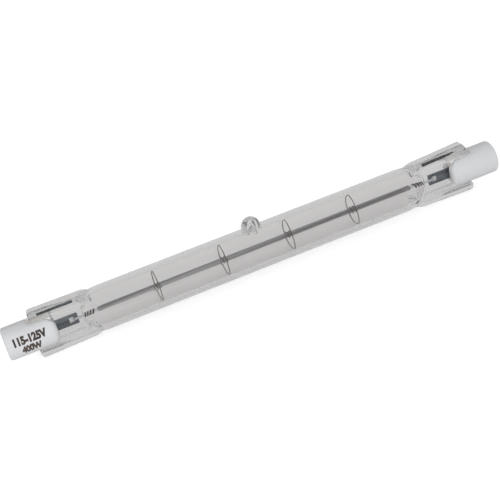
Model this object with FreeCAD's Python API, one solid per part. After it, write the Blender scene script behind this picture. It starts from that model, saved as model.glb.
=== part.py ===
import FreeCAD, Part
import math
import os

# Double-ended halogen floodlight lamp with recessed single contacts. It lies along X on the outer
# faces of its pressed seals, with the exhaust tip up. Millimetres, +Z up. Every piece is modelled
# about the lamp's own axis and raised at the end, so the origin is on the bench under the middle.

# Lamp as a whole
LAMP_LENGTH = 117.6  # over the ends of the two ceramic caps
CONTACT_DEPTH = 1.7  # from the cap's end to the contact's face

# Quartz tube
TUBE_RADIUS = 5.0
TUBE_WALL = 1.2
TIP_OFFSET = -0.35  # exhaust tip, along the axis from the middle
TIP_RADIUS = 2.2
TIP_HEIGHT = 2.65  # above the crown of the tube
TIP_FOOT_RATIO = 1.15  # radius of the tip's foot in the tube, to that of the tip
TIP_NECK_RATIO = 0.95  # and of the foot's upper end
TIP_NECK_RISE = 0.3  # height of that end above the ball's centre, in tip radii
TIP_BORE_RADIUS = 0.8  # what is left of the exhaust bore under the tip
TIP_BORE_END_RADIUS = 0.2
TIP_GLASS = 1.2  # quartz left over the end of that bore

# Pressed seals: a thin web between two flanges
SEAL_LENGTH = 14.0  # flanges, along the axis
SEAL_SETBACK = 6.4  # from the cap's end to the seal's end
FLANGE_THICKNESS = 1.3  # where a flange has left the tube
FLANGE_END_THICKNESS = 1.6
FLANGE_START_THICKNESS = 0.5  # sunk in the tube
FLANGE_HEIGHT = 5.0
FLANGE_ROUNDING = 0.5
FLANGE_ROUNDING_LIMIT = 0.45  # as a share of the flange's thickness
FLANGE_END_ROUNDING = 0.8
FLANGE_RUN_IN = 1.6  # stretch in which a flange rises out of the tube
WEB_THICKNESS = 2.3
PRESS_RUN_OUT = 3.6  # stretch in which the tube flattens into the web, past the flanges' inner ends
PRESS_LEAD_IN = {"left": 1.9, "right": 3.4}  # and before them
PRESS_STATIONS = 5  # sections that carry the flattened stretch
CAVITY_END_WALL = 1.0  # solid quartz between the end of the gas space and the web's full length
CAVITY_END_WIDTH = 3.0

# Ceramic caps
CAP_RADIUS = 3.7
CAP_LENGTH = 11.5
CAP_RIM_CHAMFER = 0.5
CHEEK_CHAMFER = 0.6
CHEEK_CHAMFER_LENGTH = 0.9
CHEEK_CORNER_RADIUS = 1.2
CAP_TO_FLANGE_GAP = 0.1
RECESS_RADIUS = 2.1
SLOT_OVERRUN = 0.8  # from the web's end to the bottom of the cap's slot

# Cement between cap and web
CEMENT_LAYER = 0.15
CEMENT_SETBACK = 0.7  # from the cheeks' inner ends
CEMENT_HALF_WIDTH = 3.2

# Contact button
BUTTON_RADIUS = 1.65
BUTTON_THICKNESS = 0.5
BUTTON_CHAMFER = 0.15
BUTTON_CLEARANCE = 0.05
STEM_RADIUS = 0.6
STEM_LENGTH = 1.3

# Current path through the seal
LEAD_RADIUS = 0.3
LEAD_IN_STEM = 1.1  # length of the outer lead held in the button's stem
OUTER_LEAD_LAP = 2.0  # length of the outer lead welded along the foil
INNER_LEAD_LAP = 2.0
INNER_LEAD_IN_FILAMENT = 0.7
FOIL_WIDTH = 2.7
FOIL_THICKNESS = 0.05
FOIL_TO_CAVITY = 1.3  # solid quartz between the gas space and the foil's inner end
FOIL_SETBACK = 2.0  # from the seal's end to the foil's outer end
FOIL_CORNER = 0.35

# Coil wound on the inner lead
LEAD_COIL_WIRE_RADIUS = 0.14
LEAD_COIL_PITCH = 0.55
LEAD_COIL_TURNS = 4.5
LEAD_COIL_END_ANGLE = 0.0  # in degrees from +Y towards +Z, as all angles here
LEAD_COIL_GAP = 0.02  # to the lead inside it
LEAD_COIL_TO_CAVITY_END = 0.15

# Filament and its supports
FILAMENT_TO_LEAD_COIL = 0.5
FILAMENT_RADIUS = 0.6
FILAMENT_WIRE = 0.18
SUPPORT_COUNT = 4
SUPPORT_PITCH = 15.7
SUPPORT_OFFSET = -0.45  # middle of their row, along the axis
SUPPORT_WIRE_RADIUS = 0.115
SUPPORT_TO_WALL = 0.25
SUPPORT_LOOP_ANGLE = 348.0
SUPPORT_LOOP_START = 330.0  # where the spoke meets the loop
SUPPORT_GRIP_END = 285.0  # and where it leaves the grip
GRIP_GAP = 0.02  # to the filament inside the grip
GRIP_PITCH = 0.75
GRIP_TURNS = 2.25
WIRE_SIDES = 6  # flats that stand for a round wire
COIL_SECTIONS = 12  # sections in each turn of a small coil
LOOP_SECTIONS = 32  # and in the loop of a support

# Places that follow from the sizes above, for the +X end
CAP_END = LAMP_LENGTH / 2
CAP_START = CAP_END - CAP_LENGTH
SEAL_END = CAP_END - SEAL_SETBACK
SEAL_START = SEAL_END - SEAL_LENGTH
PRESS_END = SEAL_START + PRESS_RUN_OUT
CAVITY_END = PRESS_END - CAVITY_END_WALL
BORE_RADIUS = TUBE_RADIUS - TUBE_WALL
FLANGE_INNER_FACE = CAP_RADIUS + CAP_TO_FLANGE_GAP
FLANGE_OUTER_FACE = FLANGE_INNER_FACE + FLANGE_THICKNESS
CONTACT_FACE = CAP_END - CONTACT_DEPTH
BUTTON_SEAT = CONTACT_FACE - BUTTON_THICKNESS
SLOT_BOTTOM = SEAL_END + SLOT_OVERRUN
SLOT_HALF = WEB_THICKNESS / 2 + CEMENT_LAYER
FOIL_END = SEAL_END - FOIL_SETBACK
FOIL_START = CAVITY_END + FOIL_TO_CAVITY
LEAD_COIL_RADIUS = LEAD_RADIUS + LEAD_COIL_GAP + LEAD_COIL_WIRE_RADIUS
LEAD_COIL_END = CAVITY_END - LEAD_COIL_TO_CAVITY_END - LEAD_COIL_WIRE_RADIUS
LEAD_COIL_START = LEAD_COIL_END - LEAD_COIL_PITCH * LEAD_COIL_TURNS
FILAMENT_END = LEAD_COIL_START - LEAD_COIL_WIRE_RADIUS - FILAMENT_TO_LEAD_COIL
GRIP_RADIUS = FILAMENT_RADIUS + GRIP_GAP + SUPPORT_WIRE_RADIUS
LOOP_RADIUS = BORE_RADIUS - SUPPORT_TO_WALL - SUPPORT_WIRE_RADIUS
AXIS_HEIGHT = FLANGE_INNER_FACE + max(FLANGE_THICKNESS, FLANGE_END_THICKNESS)

ALONG = FreeCAD.Vector(1, 0, 0)
ACROSS = FreeCAD.Vector(0, 1, 0)
UP = FreeCAD.Vector(0, 0, 1)


def rod(start, end, radius):
    """Round bar on the axis."""
    return Part.makeCylinder(radius, end - start, FreeCAD.Vector(start, 0, 0), ALONG)


def block(start, end, half_y, half_z):
    """Box along X, centred on the axis."""
    corner = FreeCAD.Vector(start, -half_y, -half_z)
    return Part.makeBox(end - start, 2 * half_y, 2 * half_z, corner)


def ellipse_section(x, half_y, half_z):
    """Closed section across the axis, made from one circle so that all sections match in a loft."""
    circle = Part.Wire(Part.makeCircle(1.0, FreeCAD.Vector(), ALONG))
    stretch = FreeCAD.Matrix()
    stretch.scale(FreeCAD.Vector(1.0, half_y, half_z))
    section = circle.transformGeometry(stretch)
    section.translate(FreeCAD.Vector(x, 0, 0))
    return section


def ease(share):
    """Smooth fall from 1 to 0 as share goes from 0 to 1."""
    return 0.5 + 0.5 * math.cos(math.pi * share)


def flattened_end(start, end, half_y, half_z):
    """Round stretch of tube that flattens; half_y and half_z are pairs, at start and at end."""
    sections = []
    for i in range(PRESS_STATIONS):
        share = i / (PRESS_STATIONS - 1)
        y = half_y[1] + (half_y[0] - half_y[1]) * ease(share)
        z = half_z[1] + (half_z[0] - half_z[1]) * ease(share**2)
        sections.append(ellipse_section(start + (end - start) * share, y, z))
    return Part.makeLoft(sections, True, True)


def seal_flange(side_of_web):
    """Rounded bar along one edge of the web; side_of_web is +1 for the upper one, -1 for the lower."""
    end_face = FLANGE_INNER_FACE + FLANGE_END_THICKNESS
    rounding = FLANGE_END_ROUNDING
    middle = rounding * (1 - math.sqrt(0.5))
    outline = [
        (SEAL_START - FLANGE_RUN_IN, FLANGE_INNER_FACE),
        (SEAL_START - FLANGE_RUN_IN, FLANGE_INNER_FACE + FLANGE_START_THICKNESS),
        (SEAL_START, FLANGE_OUTER_FACE),
        (SEAL_END - rounding, end_face),
        (SEAL_END - middle, end_face - middle),
        (SEAL_END, end_face - rounding),
        (SEAL_END, FLANGE_INNER_FACE),
    ]
    corners = [FreeCAD.Vector(x, -FLANGE_HEIGHT / 2, z * side_of_web) for x, z in outline]
    edges = [Part.makeLine(a, b) for a, b in zip(corners[:3], corners[1:4])]
    edges.append(Part.Arc(*corners[3:6]).toShape())
    edges += [Part.makeLine(a, b) for a, b in zip(corners[5:], corners[6:] + corners[:1])]
    bar = Part.Face(Part.Wire(edges)).extrude(ACROSS * FLANGE_HEIGHT)
    long_edges = [e for e in bar.Edges if e.Length > SEAL_LENGTH / 2]
    largest = FLANGE_ROUNDING_LIMIT * FLANGE_THICKNESS
    return bar.makeFillet(min(FLANGE_ROUNDING, largest), long_edges)


def seal_body(lead_in):
    """Solid quartz of the +X seal, before the gas space and the current path are cut."""
    tube_end = SEAL_START - lead_in
    web_half = WEB_THICKNESS / 2
    web_half_width = (FLANGE_INNER_FACE + FLANGE_OUTER_FACE) / 2
    ramp = flattened_end(tube_end, PRESS_END, (TUBE_RADIUS, web_half), (TUBE_RADIUS, web_half_width))
    web = block(SEAL_START, SEAL_END, web_half, web_half_width)
    return ramp.multiFuse([web, seal_flange(1), seal_flange(-1)])


def cavity_end(lead_in):
    """End of the gas space in the +X seal, narrowing round the coil on the lead."""
    tube_end = SEAL_START - lead_in
    coil_room = LEAD_COIL_RADIUS + LEAD_COIL_WIRE_RADIUS + LEAD_COIL_TO_CAVITY_END
    half_y = (BORE_RADIUS, coil_room)
    half_z = (BORE_RADIUS, CAVITY_END_WIDTH / 2)
    return flattened_end(tube_end, CAVITY_END, half_y, half_z)


def exhaust_tip():
    """Melted-off exhaust tube: a dome that runs down into the crown of the tube."""
    centre_height = TUBE_RADIUS + TIP_HEIGHT - TIP_RADIUS
    ball = Part.makeSphere(TIP_RADIUS, FreeCAD.Vector(TIP_OFFSET, 0, centre_height))
    foot_start = TUBE_RADIUS - TUBE_WALL / 2
    foot = Part.makeCone(
        TIP_FOOT_RATIO * TIP_RADIUS,
        TIP_NECK_RATIO * TIP_RADIUS,
        centre_height + TIP_NECK_RISE * TIP_RADIUS - foot_start,
        FreeCAD.Vector(TIP_OFFSET, 0, foot_start),
        UP,
    )
    return ball.fuse(foot)


def exhaust_bore():
    """Narrowing space that is left under the tip, open to the gas space."""
    start = BORE_RADIUS - TUBE_WALL / 2
    end = TUBE_RADIUS + TIP_HEIGHT - TIP_GLASS
    return Part.makeCone(
        TIP_BORE_RADIUS, TIP_BORE_END_RADIUS, end - start, FreeCAD.Vector(TIP_OFFSET, 0, start), UP
    )


def at_side(shape, side):
    """A piece modelled for the +X end, or its mirror image for the -X end."""
    if side == "right":
        return shape
    return shape.mirror(FreeCAD.Vector(), ALONG)


def quartz_envelope(sealed_in):
    """Tube, tip and both seals: one piece of quartz, closed round everything in sealed_in."""
    tube_ends = {side: SEAL_START - PRESS_LEAD_IN[side] for side in PRESS_LEAD_IN}
    body = rod(-tube_ends["left"], tube_ends["right"], TUBE_RADIUS)
    gas_space = rod(-tube_ends["left"], tube_ends["right"], BORE_RADIUS)
    seals = [at_side(seal_body(PRESS_LEAD_IN[side]), side) for side in PRESS_LEAD_IN]
    ends = [at_side(cavity_end(PRESS_LEAD_IN[side]), side) for side in PRESS_LEAD_IN]
    body = body.multiFuse(seals + [exhaust_tip()])
    gas_space = gas_space.multiFuse(ends + [exhaust_bore()])
    return body.cut(gas_space).cut(Part.makeCompound(sealed_in))


def ceramic_cap():
    """Turned cap with a cross slot that straddles the web, and a recess for the contact."""
    outline = [
        (CAP_START, 0),
        (CAP_START, CAP_RADIUS - CHEEK_CHAMFER),
        (CAP_START + CHEEK_CHAMFER_LENGTH, CAP_RADIUS),
        (CAP_END - CAP_RIM_CHAMFER, CAP_RADIUS),
        (CAP_END, CAP_RADIUS - CAP_RIM_CHAMFER),
        (CAP_END, 0),
    ]
    corners = [FreeCAD.Vector(x, r, 0) for x, r in outline]
    profile = Part.makePolygon(corners + corners[:1])
    body = Part.Face(profile).revolve(FreeCAD.Vector(), ALONG, 360)
    return body.cut(
        Part.makeCompound(
            [
                block(CAP_START, SLOT_BOTTOM, SLOT_HALF, CAP_RADIUS),
                rod(CONTACT_FACE, CAP_END, RECESS_RADIUS),
                rod(BUTTON_SEAT, CONTACT_FACE, BUTTON_RADIUS + BUTTON_CLEARANCE),
                rod(SLOT_BOTTOM, BUTTON_SEAT, STEM_RADIUS + BUTTON_CLEARANCE),
                cheek_corner(1),
                cheek_corner(-1),
            ]
        )
    )


def cheek_corner(side_of_web):
    """What is rounded off a cheek's corner, seen square to the web."""
    radius = CHEEK_CORNER_RADIUS
    cheek_half = math.sqrt(CAP_RADIUS**2 - SLOT_HALF**2)
    low = min(side_of_web * (cheek_half - radius), side_of_web * CAP_RADIUS)
    corner = Part.makeBox(
        radius,
        2 * CAP_RADIUS,
        CAP_RADIUS - cheek_half + radius,
        FreeCAD.Vector(CAP_START, -CAP_RADIUS, low),
    )
    centre = FreeCAD.Vector(CAP_START + radius, -CAP_RADIUS, side_of_web * (cheek_half - radius))
    return corner.cut(Part.makeCylinder(radius, 2 * CAP_RADIUS, centre, ACROSS))


def cap_cement(lead):
    """Cement that fills the slot round the web's end and the lead."""
    filling = block(CAP_START + CEMENT_SETBACK, SLOT_BOTTOM, SLOT_HALF, CEMENT_HALF_WIDTH)
    web = block(CAP_START, SEAL_END, WEB_THICKNESS / 2, CAP_RADIUS)
    return filling.cut(Part.makeCompound([web, lead]))


def contact_button(lead):
    """Flat contact with a stem that is crimped on the lead."""
    chamfer_start = CONTACT_FACE - BUTTON_CHAMFER
    disc = rod(BUTTON_SEAT, chamfer_start, BUTTON_RADIUS)
    face = Part.makeCone(
        BUTTON_RADIUS,
        BUTTON_RADIUS - BUTTON_CHAMFER,
        BUTTON_CHAMFER,
        FreeCAD.Vector(chamfer_start, 0, 0),
        ALONG,
    )
    stem = rod(BUTTON_SEAT - STEM_LENGTH, BUTTON_SEAT, STEM_RADIUS)
    return disc.multiFuse([face, stem]).cut(lead)


def outer_lead():
    return rod(FOIL_END - OUTER_LEAD_LAP, BUTTON_SEAT - STEM_LENGTH + LEAD_IN_STEM, LEAD_RADIUS)


def inner_lead():
    return rod(FILAMENT_END - INNER_LEAD_IN_FILAMENT, FOIL_START + INNER_LEAD_LAP, LEAD_RADIUS)


def molybdenum_foil():
    """Thin strip that lies against the back of both leads, its corners cut off."""
    half = FOIL_WIDTH / 2
    outline = [
        (FOIL_START, half - FOIL_CORNER),
        (FOIL_START + FOIL_CORNER, half),
        (FOIL_END - FOIL_CORNER, half),
        (FOIL_END, half - FOIL_CORNER),
        (FOIL_END, FOIL_CORNER - half),
        (FOIL_END - FOIL_CORNER, -half),
        (FOIL_START + FOIL_CORNER, -half),
        (FOIL_START, FOIL_CORNER - half),
    ]
    corners = [FreeCAD.Vector(x, LEAD_RADIUS, z) for x, z in outline]
    return Part.Face(Part.makePolygon(corners + corners[:1])).extrude(ACROSS * FOIL_THICKNESS)


def wire_section(centre, radius, direction):
    """Section of a wire that runs in that direction: a polygon inside the circle of its radius."""
    corners = Part.makeCircle(radius, centre, direction).discretize(WIRE_SIDES + 1)
    return Part.makePolygon(corners[:-1] + corners[:1])


def wire_coil(start, pitch, turns, coil_radius, wire_radius, end_angle, turn_sections):
    """Helix of wire about the lamp's axis, from start towards +X, as a loft through its sections."""
    first = wire_section(
        FreeCAD.Vector(0, coil_radius, 0),
        wire_radius,
        FreeCAD.Vector(pitch, 0, 2 * math.pi * coil_radius),
    )
    steps = math.ceil(turns * turn_sections)
    sections = []
    for i in range(steps + 1):
        section = first.copy()
        section.rotate(FreeCAD.Vector(), ALONG, end_angle - 360 * turns * (1 - i / steps))
        section.translate(ALONG * (start + pitch * turns * i / steps))
        sections.append(section)
    return Part.makeLoft(sections, True, True)


def lead_coil():
    """Few turns of thick wire round the inner lead."""
    return wire_coil(
        LEAD_COIL_START,
        LEAD_COIL_PITCH,
        LEAD_COIL_TURNS,
        LEAD_COIL_RADIUS,
        LEAD_COIL_WIRE_RADIUS,
        LEAD_COIL_END_ANGLE,
        COIL_SECTIONS,
    )


def filament():
    """Outer form of the close-wound coil."""
    coil = rod(-FILAMENT_END, FILAMENT_END, FILAMENT_RADIUS)
    return coil.cut(rod(-FILAMENT_END, FILAMENT_END, FILAMENT_RADIUS - FILAMENT_WIRE))


def on_circle(x, radius, degrees):
    """Point round the axis, its angle counted from +Y towards +Z."""
    angle = math.radians(degrees)
    return FreeCAD.Vector(x, radius * math.cos(angle), radius * math.sin(angle))


def filament_support(x):
    """One wire: turns that grip the filament, a spoke, and a loop that keeps clear of the wall."""
    radius = SUPPORT_WIRE_RADIUS
    half_grip = GRIP_PITCH * GRIP_TURNS / 2
    grip = wire_coil(
        -half_grip, GRIP_PITCH, GRIP_TURNS, GRIP_RADIUS, radius, SUPPORT_GRIP_END, COIL_SECTIONS
    )
    loop_end = SUPPORT_LOOP_START + SUPPORT_LOOP_ANGLE
    loop = wire_coil(0, 0, SUPPORT_LOOP_ANGLE / 360, LOOP_RADIUS, radius, loop_end, LOOP_SECTIONS)
    grip_end = on_circle(half_grip, GRIP_RADIUS, SUPPORT_GRIP_END)
    reach = on_circle(0, LOOP_RADIUS, SUPPORT_LOOP_START) - grip_end
    spoke = Part.Face(wire_section(grip_end, radius, reach)).extrude(reach)
    support = grip.multiFuse([spoke, loop])
    support.translate(ALONG * x)
    return support


def one_solid(shape):
    """The shape with leftover seams removed, out of its compound."""
    clean = shape.removeSplitter()
    return clean.Solids[0] if len(clean.Solids) == 1 else clean


def end_pieces(side):
    """The separate pieces of one end, by name."""
    lead = outer_lead()
    pieces = {
        "ceramic_cap": ceramic_cap(),
        "cap_cement": cap_cement(lead),
        "contact_button": contact_button(lead),
        "outer_lead": lead,
        "molybdenum_foil": molybdenum_foil(),
        "inner_lead": inner_lead(),
        "lead_coil": lead_coil(),
    }
    return {f"{side}_{name}": at_side(shape, side) for name, shape in pieces.items()}


def main():
    pieces = {}
    for side in ("left", "right"):
        pieces.update(end_pieces(side))
    sealed_in = [
        shape
        for name, shape in pieces.items()
        if name.endswith(("molybdenum_foil", "inner_lead", "outer_lead"))
    ]
    pieces["quartz_envelope"] = quartz_envelope(sealed_in)
    pieces["filament"] = filament()
    for i in range(SUPPORT_COUNT):
        place = SUPPORT_OFFSET + (i - (SUPPORT_COUNT - 1) / 2) * SUPPORT_PITCH
        pieces[f"filament_support_{i + 1}"] = filament_support(place)

    os.makedirs("parts", exist_ok=True)
    for name, shape in pieces.items():
        piece = one_solid(shape)
        piece.translate(UP * AXIS_HEIGHT)
        piece.exportStep(f"parts/{name}.step")


main()
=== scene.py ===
import math

import bmesh
import bpy
from mathutils import Matrix, Vector


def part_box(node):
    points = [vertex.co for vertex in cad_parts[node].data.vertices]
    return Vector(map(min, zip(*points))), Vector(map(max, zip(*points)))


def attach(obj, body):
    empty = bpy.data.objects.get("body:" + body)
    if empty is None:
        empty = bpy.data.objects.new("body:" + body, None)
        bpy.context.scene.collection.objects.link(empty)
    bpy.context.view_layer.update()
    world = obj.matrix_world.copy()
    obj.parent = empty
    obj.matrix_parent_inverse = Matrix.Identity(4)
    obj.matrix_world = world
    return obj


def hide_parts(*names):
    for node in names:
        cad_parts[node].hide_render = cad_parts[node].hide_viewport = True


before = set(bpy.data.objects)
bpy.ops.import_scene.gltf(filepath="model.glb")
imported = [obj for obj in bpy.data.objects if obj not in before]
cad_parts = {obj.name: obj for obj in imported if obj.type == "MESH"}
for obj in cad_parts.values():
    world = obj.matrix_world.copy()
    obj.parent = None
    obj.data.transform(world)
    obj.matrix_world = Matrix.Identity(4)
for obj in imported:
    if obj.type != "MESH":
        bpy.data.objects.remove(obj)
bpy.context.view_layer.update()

# Double-ended halogen floodlight lamp: a quartz tube with two pressed seals, ceramic caps, a coiled
# filament on spiral supports and a melted-off exhaust tip. Metres, +Z up. The lamp lies along X on
# the flanges of its seals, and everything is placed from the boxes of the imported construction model.

bl_info = {
    "name": "Double-Ended Halogen Lamp",
    "version": (1, 0, 0),
    "blender": (4, 5, 0),
    "location": "3D View > Sidebar > Lamp",
    "description": "Models and finishes a linear halogen lamp around its construction model",
    "category": "Add Mesh",
}

MM = 0.001
BODY = "root"
SIDES = {"left": -1, "right": 1}

# Boxes of the construction model at rest
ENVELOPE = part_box("quartz_envelope")
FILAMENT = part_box("filament")
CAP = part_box("right_ceramic_cap")
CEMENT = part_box("right_cap_cement")
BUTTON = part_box("right_contact_button")
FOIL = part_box("right_molybdenum_foil")
INNER_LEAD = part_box("right_inner_lead")
OUTER_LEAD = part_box("right_outer_lead")
LEAD_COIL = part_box("right_lead_coil")
SUPPORTS = [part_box(f"filament_support_{i}") for i in range(1, 5)]
AXIS_Z = (FILAMENT[0].z + FILAMENT[1].z) / 2


def length(name, description, default):
    return bpy.props.FloatProperty(
        name=name, description=description, default=default, unit="LENGTH", precision=5
    )


def slope(name, description, degrees):
    return bpy.props.FloatProperty(
        name=name, description=description, default=math.radians(degrees), subtype="ANGLE"
    )


def number(name, description, default):
    return bpy.props.IntProperty(name=name, description=description, default=default)


def colour(name, description, default):
    return bpy.props.FloatVectorProperty(
        name=name, description=description, default=default, subtype="COLOR", min=0.0, max=1.0
    )


class GlassSizes(bpy.types.PropertyGroup):
    """Sizes of the quartz envelope; those along the lamp count from its middle, heights from its axis."""

    radius: length("Tube radius", "Outside of the round tube", ENVELOPE[1].y)
    wall: length("Tube wall", "Thickness of the tube's wall", 1.2 * MM)
    seal_end: length("Seal end", "End of a seal, just short of the cement", ENVELOPE[1].x - 0.03 * MM)
    seal_length: length("Seal length", "Length of the flanges", 14.0 * MM)
    left_lead_in: length("Left lead-in", "Where the left shoulder starts before the flanges", 1.9 * MM)
    right_lead_in: length("Right lead-in", "Where the right shoulder starts before them", 3.4 * MM)
    run_out: length("Press run-out", "From the flanges' inner ends to the flat web", 3.6 * MM)
    web: length("Web", "Thickness of the pressed web", 2.3 * MM)
    cement_gap: length("Cement gap", "Between the web and the cement beside it", 0.03 * MM)
    web_top: length("Web height", "Half height of the web, inside the flanges", 4.45 * MM)
    flange_breadth: length("Flange breadth", "Breadth of a flange, across the web", 5.0 * MM)
    flange_inner: length("Flange inner face", "Height of the face towards the cap", 3.8 * MM)
    flange_outer: length("Flange outer face", "Height where the flange starts", 5.1 * MM)
    flange_end: length("Flange end", "Height of a lower flange's outer face at its end", AXIS_Z)
    left_flare: length("Left flare", "Upper left flange's end, above or below that height", -0.15 * MM)
    right_flare: length("Right flare", "Upper right flange's end, above or below it", 0.3 * MM)
    flange_root: length("Flange root", "Flange thickness sunk in the tube", 0.5 * MM)
    flange_crown: length("Flange crown", "Rise of the outer face's curve across the web", 0.25 * MM)
    left_rise: length("Left rise", "Stretch in which a left flange leaves the tube", 3.0 * MM)
    right_rise: length("Right rise", "Stretch in which a right flange leaves the tube", 4.0 * MM)
    rise_end: length("Rise end", "From the flanges' nominal start to their full height", 1.8 * MM)
    web_fillet: length("Web fillet", "Radius between web and flange, short of the cap", 0.8 * MM)
    cap_fillet: length("Fillet at the cap", "Radius between web and flange, beside the cap", 0.25 * MM)
    fillet_change: length("Fillet change", "Stretch between those two radii", 2.0 * MM)
    fillet_lead: length("Fillet lead", "From the end of that stretch to the cap", 0.4 * MM)
    flange_rounding: length("Flange rounding", "Radius along the flange's long edges", 0.5 * MM)
    end_rounding: length("Flange end rounding", "Radius of the flange's outer end", 0.8 * MM)
    end_corner: length("Flange end corners", "Radius of the flange's end, seen from above", 0.8 * MM)
    end_edge: length("End edge", "Rounding round the seal's end face", 0.05 * MM)
    melt_lead: length("Melted stretch", "How far the melted surface starts before the seal", 2.0 * MM)
    cavity_end: length("Gas space end", "End of the gas space", 41.0 * MM)
    cavity_end_breadth: length("Gas space end breadth", "Across the web", 1.5 * MM)
    cavity_end_height: length("Gas space end height", "Along the web", 3.0 * MM)
    cavity_rounding: length("Gas space rounding", "Radius round the end of the gas space", 0.15 * MM)
    tip_offset: length("Tip offset", "Exhaust tip along the axis", -0.35 * MM)
    tip_top: length("Tip top", "Height of the exhaust tip", ENVELOPE[1].z - AXIS_Z)
    tip_radius: length("Tip radius", "Radius of the melted ball", 2.2 * MM)


class MetalSizes(bpy.types.PropertyGroup):
    """Sizes of the filament, its supports, the leads and the foils."""

    coil_radius: length("Filament radius", "Outside of the coil", FILAMENT[1].y)
    coil_wire: length("Filament wire", "Diameter of the coiled wire", 0.19 * MM)
    coil_pitch: length("Filament pitch", "From turn to turn", 0.28 * MM)
    support_wire: length("Support wire", "Diameter of the supports' wire", 0.23 * MM)
    support_loop: length("Support loop", "Outer radius of a support's loop", SUPPORTS[0][1].y)
    grip_pitch: length("Grip pitch", "From turn to turn on the filament", 0.75 * MM)
    grip_gap: length("Grip gap", "Between the filament and the wire that grips it", 0.02 * MM)
    grip_end: slope("Grip end", "Where the spoke leaves the grip, from +Y towards +Z", 285.0)
    loop_start: slope("Loop start", "Where the spoke meets the loop", 330.0)
    loop_span: slope("Loop span", "How far the loop runs round the axis", 348.0)
    lead_radius: length("Lead radius", "Radius of the molybdenum leads", INNER_LEAD[1].y)
    lead_flat: length("Lead flat", "Length of a lead's flattened end with its taper", 1.5 * MM)
    lead_taper: length("Lead taper", "Stretch in which the lead flattens", 0.8 * MM)
    lead_coil_wire: length("Lead coil wire", "Diameter of the wire wound on the lead", 0.36 * MM)
    lead_coil_pitch: length("Lead coil pitch", "From turn to turn on the lead", 0.62 * MM)
    foil_corner: length("Foil corner", "Corner cut off the foil", 0.12 * MM)


class CapSizes(bpy.types.PropertyGroup):
    """Sizes of the ceramic caps and their contacts; those along the lamp count from its middle."""

    radius: length("Cap radius", "Outside of the cap", CAP[1].y)
    start: length("Cap start", "Inner ends of the cheeks", CAP[0].x)
    end: length("Cap end", "Outer end of the cap", CAP[1].x)
    rim: length("Rim rounding", "At the cap's outer end", 0.7 * MM)
    cheek_round: length("Cheek rounding", "Across the cheeks' inner ends", 1.2 * MM)
    cheek_round_length: length("Cheek rounding length", "Along the axis", 1.3 * MM)
    cheek_corner: length("Cheek corner", "Rounding of the cheeks' corners, along the web", 2.7 * MM)
    cheek_corner_length: length("Cheek corner length", "Along the axis", 3.0 * MM)
    edge: length("Fired edges", "Width of the small roundings on all edges", 0.06 * MM)
    slot: length("Slot width", "Slot that straddles the web", 2.6 * MM)
    slot_bottom: length("Slot bottom", "Floor of the slot", 53.2 * MM)
    recess: length("Recess radius", "Opening in front of the contact", 2.1 * MM)
    contact_face: length("Contact face", "Face of the contact", BUTTON[1].x)
    contact_gap: length("Contact gap", "Between the contact and the ceramic round it", 0.05 * MM)
    button_radius: length("Button radius", "Outside of the contact", BUTTON[1].y)
    button_seat: length("Button seat", "Back of the contact's disc", 56.6 * MM)
    button_edge: length("Button edge", "Chamfer round the contact", 0.15 * MM)
    dimple_radius: length("Dimple radius", "Turned dimple in the contact's face", 0.55 * MM)
    dimple_floor: length("Dimple floor", "Radius of the dimple's flat floor", 0.45 * MM)
    dimple_depth: length("Dimple depth", "Below the contact's face", 0.05 * MM)
    stem_radius: length("Stem radius", "Stem behind the contact", 0.6 * MM)
    stem_edge: length("Stem edge", "Chamfer at the stem's end", 0.05 * MM)
    print_height: length("Print height", "Height of the characters", 1.95 * MM)
    print_sunk: length("Print back", "Back of the ink, over the cap's side", 0.002 * MM)
    print_proud: length("Print face", "Face of the ink, over the cap's side", 0.014 * MM)


class Finishes(bpy.types.PropertyGroup):
    """Colours of the lamp's materials."""

    quartz: colour("Quartz", "Tint of the tube's walls", (0.962, 0.955, 0.952))
    steatite: colour("Steatite", "Matt white ceramic", (0.66, 0.67, 0.685))
    cement: colour("Cement", "Ceramic cement in the caps' slots", (0.88, 0.87, 0.85))
    ink: colour("Ink", "Print on the cap", (0.035, 0.026, 0.022))
    nickel: colour("Nickel", "Contact buttons", (0.62, 0.60, 0.56))
    molybdenum: colour("Molybdenum", "Leads", (0.74, 0.74, 0.76))
    # The foil's colour is painted shade: far darker than the same molybdenum in the leads, so that the
    # foil looks dim inside the seal
    foil: colour("Foil", "Molybdenum foil behind quartz", (0.15, 0.17, 0.19))
    tungsten: colour("Tungsten", "Filament", (0.44, 0.43, 0.44))
    support: colour("Support wire", "Filament supports", (0.26, 0.24, 0.23))
    lead_coil: colour("Lead coil", "Wire wound on the leads", (0.07, 0.052, 0.047))


class StageSettings(bpy.types.PropertyGroup):
    """Camera, floor and light."""

    lens: bpy.props.FloatProperty(
        name="Lens", description="Focal length", default=90.99, unit="CAMERA"
    )
    turn: slope("Turn", "Lamp's slope across the picture", 21.31)
    tilt: slope("Tilt", "Lamp's right end away from the camera", 10.84)
    height: slope("Height", "Camera above the web's normal", 30.0)
    aside: length("Aside", "Lamp's middle right of the picture's middle", 1.707 * MM)
    below: length("Below", "Lamp's middle below the picture's middle", -0.760 * MM)
    distance: length("Distance", "From the camera to the lamp's middle", 279.68 * MM)
    floor_radius: length("Floor radius", "Round floor under the lamp", 3.0)
    floor: colour("Floor", "Pale floor", (0.82, 0.82, 0.82))
    bounces: number("Bounces", "Turns that light may take inside the quartz", 160)
    diffuse_bounces: number("Diffuse bounces", "Turns that it may take in the caps' slots", 10)


GROUPS = {
    "lamp_glass": GlassSizes,
    "lamp_metal": MetalSizes,
    "lamp_caps": CapSizes,
    "lamp_finishes": Finishes,
    "lamp_stage": StageSettings,
}


# Helpers

ALONG = Vector((1, 0, 0))
UP = Vector((0, 0, 1))
QUARTER = math.pi / 2
SHARP_ANGLE = math.radians(38)
SAME_POINT = 1e-7
SAME_FINE_POINT = 1e-8


def blend(low, high, share):
    return low + (high - low) * share


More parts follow.
